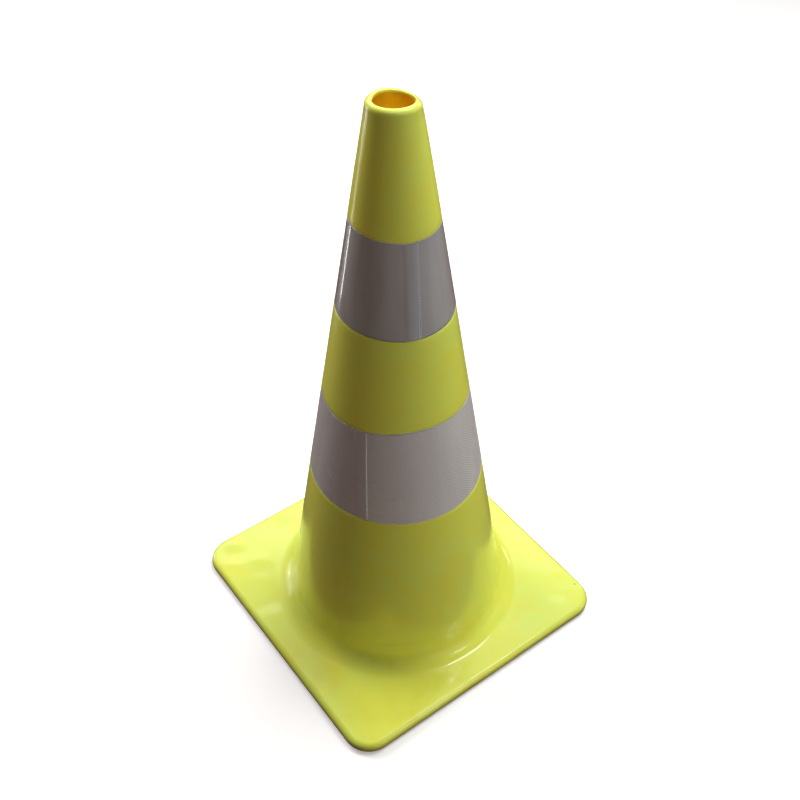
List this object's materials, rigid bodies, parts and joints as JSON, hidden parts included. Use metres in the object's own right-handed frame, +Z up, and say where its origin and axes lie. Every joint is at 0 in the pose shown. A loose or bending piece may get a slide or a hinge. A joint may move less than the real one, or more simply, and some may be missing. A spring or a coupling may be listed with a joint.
{
  "type": "traffic cone",
  "caption": "Hollow lime PVC traffic cone on a square weighted base, open at the top, with grey reflective collars.",
  "frame": {"origin": "on the ground, under the middle of the square base", "axes": "+Z up along the cone's axis; X and Y along the sides of the square base"},
  "size_m": [0.373, 0.373, 0.7065],
  "materials": {
    "lime_pvc": "glossy moulded PVC, slightly blotchy",
    "orange_pvc": "smooth orange PVC",
    "ballast_pvc": "dark recycled PVC with a coarse grain",
    "collar_backing": "white plastic sleeve",
    "lower_reflective": "grey prismatic reflective strip with fine diamond cells",
    "upper_reflective": "smooth glossy grey reflective strip"
  },
  "bodies": {
    "root": {"cone_shell": "lime_pvc", "inner_liner": "orange_pvc", "base_ballast": "ballast_pvc", "lower_collar_backing": "collar_backing", "lower_collar_face": "lower_reflective", "upper_collar_backing": "collar_backing", "upper_collar_face": "upper_reflective"}
  },
  "joints": []
}
